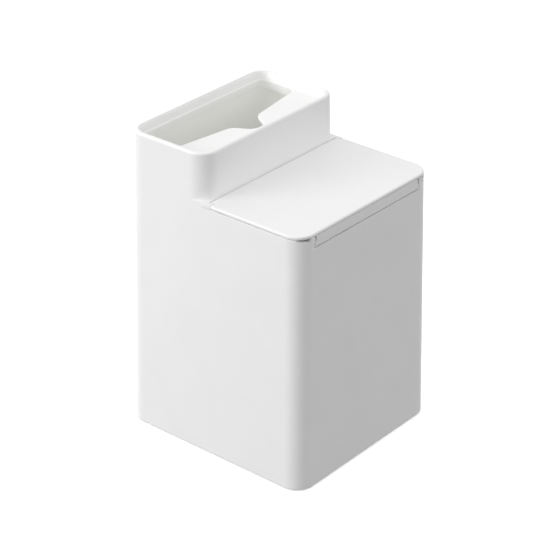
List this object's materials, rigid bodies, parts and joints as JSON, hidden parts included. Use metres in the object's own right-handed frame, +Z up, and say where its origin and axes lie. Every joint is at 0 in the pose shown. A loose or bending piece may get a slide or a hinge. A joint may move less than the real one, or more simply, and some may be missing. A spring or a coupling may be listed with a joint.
{
  "type": "lidded cleaning caddy",
  "caption": "Small moulded caddy: a tall open well with a notched, sunk rim and lift-out liner stands behind a lower box with a flush rear-hinged lid.",
  "frame": {"origin": "on the floor, under the middle of the footprint", "axes": "+Z up; -Y towards the front, where the lidded box is; +X to the right of someone facing the front; the object is mirror-symmetric about x = 0"},
  "size_m": [0.1262, 0.1362, 0.195],
  "materials": {
    "white_casing": "fine satin moulded surface",
    "white_collar": "fine satin moulded surface",
    "pale_liner": "satin, slightly warmer than the casing",
    "white_lid": "fine satin moulded surface",
    "steel": "plain bright steel",
    "soft_pad": "soft matt",
    "foot_rubber": "matt grey rubber"
  },
  "bodies": {
    "caddy": {"outer_casing": "white_casing", "base_plate": "white_casing", "base_screws": "steel", "foot_front_left": "foot_rubber", "foot_front_right": "foot_rubber", "foot_rear_left": "foot_rubber", "foot_rear_right": "foot_rubber", "refill_tray": "pale_liner"},
    "lid": {"lid_panel": "white_lid", "lid_front_rail": "white_lid", "hinge_pin_left": "steel", "hinge_pin_right": "steel", "lid_bumper_left": "soft_pad", "lid_bumper_right": "soft_pad"},
    "well_insert": {"well_collar": "white_collar", "well_liner": "pale_liner"}
  },
  "joints": [
    {"name": "lid_hinge", "type": "hinge", "parent": "caddy", "child": "lid", "pos_m": [0, 0.00313, 0.1644], "axis": [-1, 0, 0], "range_deg": [0, 90]},
    {"name": "well_lift", "type": "slide", "parent": "caddy", "child": "well_insert", "axis": [0, 0, 1], "range_m": [0, 0.19]}
  ]
}
